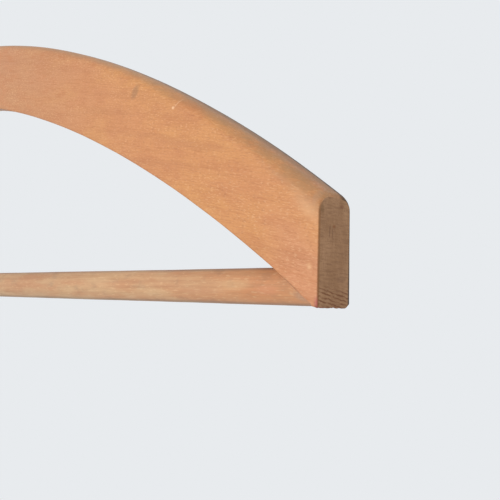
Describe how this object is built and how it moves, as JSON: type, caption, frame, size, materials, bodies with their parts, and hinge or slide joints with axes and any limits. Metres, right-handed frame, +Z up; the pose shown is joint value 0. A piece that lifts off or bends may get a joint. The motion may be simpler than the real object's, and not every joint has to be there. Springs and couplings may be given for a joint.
{
  "type": "clothes hanger",
  "caption": "Flat bow-shaped beech clothes hanger with a round trouser bar between its ends and a swivelling steel wire hook.",
  "frame": {"origin": "centre of the hook's bend, on the swivel axis, where the middle of a clothes rail lies", "axes": "+X along the hanger to its right end seen from the front, +Y to the back and along the rail, +Z up along the hook's shank"},
  "size_m": [0.45, 0.012, 0.186],
  "materials": {
    "arm_wood": "aged beech, worn satin",
    "bar_wood": "bare beech dowel, worn matt",
    "brad_steel": "dulled",
    "hook_wire": "bright nickel plated, handled",
    "fitting_metal": "nickel plated, satin"
  },
  "bodies": {
    "hook": {"hook": "hook_wire"},
    "wooden_body": {"left_arm": "arm_wood", "right_arm": "arm_wood", "trouser_bar": "bar_wood", "left_brad": "brad_steel", "right_brad": "brad_steel", "hook_ferrule": "fitting_metal", "hook_washer": "fitting_metal"}
  },
  "joints": [
    {"name": "hook_swivel", "type": "hinge", "parent": "hook", "child": "wooden_body", "pos_m": [0, 0, -0.05], "axis": [0, 0, 1], "continuous": true}
  ]
}
